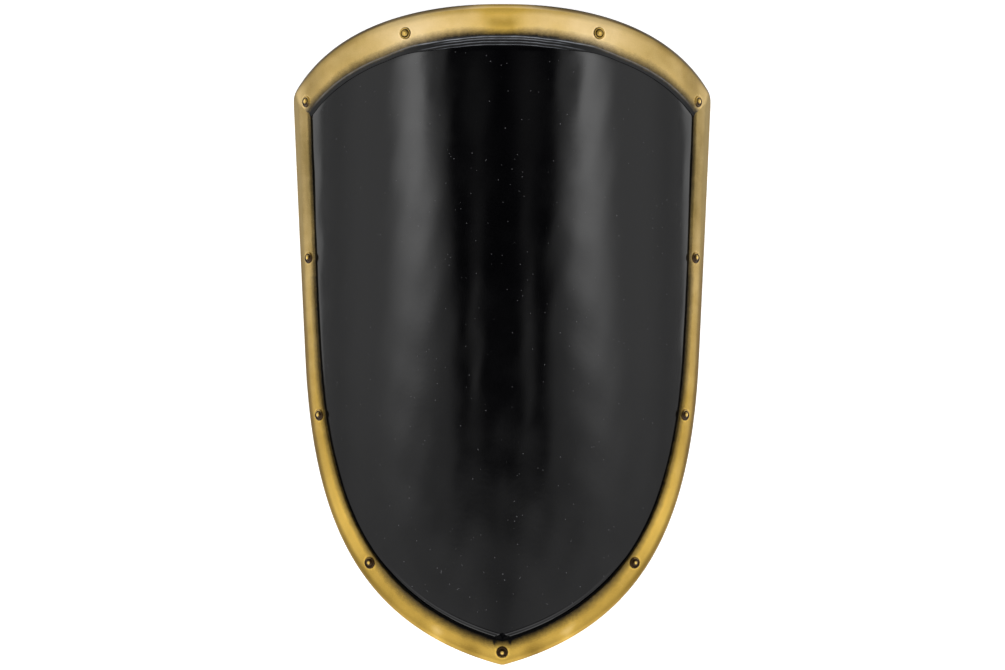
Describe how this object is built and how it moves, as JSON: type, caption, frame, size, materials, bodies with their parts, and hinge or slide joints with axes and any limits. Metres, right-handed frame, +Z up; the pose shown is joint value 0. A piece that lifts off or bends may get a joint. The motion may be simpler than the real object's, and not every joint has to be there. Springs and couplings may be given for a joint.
{
  "type": "kite shield",
  "caption": "Bent kite shield with a rounded top and a pointed foot, a smooth black face, a raised gilt rim set with small round studs, and a leather arm strap and hand grip behind.",
  "frame": {"origin": "on the floor under the middle of the lying shield's box", "axes": "+Z up out of the shield's face as it lies, +Y to its rounded top, -Y to its pointed foot, +X to the right seen from the front"},
  "size_m": [0.64, 0.9614, 0.1812],
  "materials": {
    "black_latex": "glossy black latex skin over foam, slightly wavy, with fine pits and dust",
    "gilt_latex": "satin antique gold paint on latex, shaded to black along the inner edge",
    "brown_leather": "waxed brown leather, darker at its cut edges",
    "rivet_steel": "dull steel rivet heads"
  },
  "bodies": {
    "root": {"shield_board": "black_latex", "rim": "gilt_latex", "rim_stud_top_left": "gilt_latex", "rim_stud_top_right": "gilt_latex", "rim_stud_corner_left": "gilt_latex", "rim_stud_corner_right": "gilt_latex", "rim_stud_upper_left": "gilt_latex", "rim_stud_upper_right": "gilt_latex", "rim_stud_middle_left": "gilt_latex", "rim_stud_middle_right": "gilt_latex", "rim_stud_lower_left": "gilt_latex", "rim_stud_lower_right": "gilt_latex", "rim_stud_tip": "gilt_latex", "forearm_strap": "brown_leather", "forearm_strap_rivet_upper_outer": "rivet_steel", "forearm_strap_rivet_upper_inner": "rivet_steel", "forearm_strap_rivet_lower_outer": "rivet_steel", "forearm_strap_rivet_lower_inner": "rivet_steel", "hand_grip": "brown_leather", "hand_grip_rivet_upper_outer": "rivet_steel", "hand_grip_rivet_upper_inner": "rivet_steel", "hand_grip_rivet_lower_outer": "rivet_steel", "hand_grip_rivet_lower_inner": "rivet_steel"}
  },
  "joints": []
}
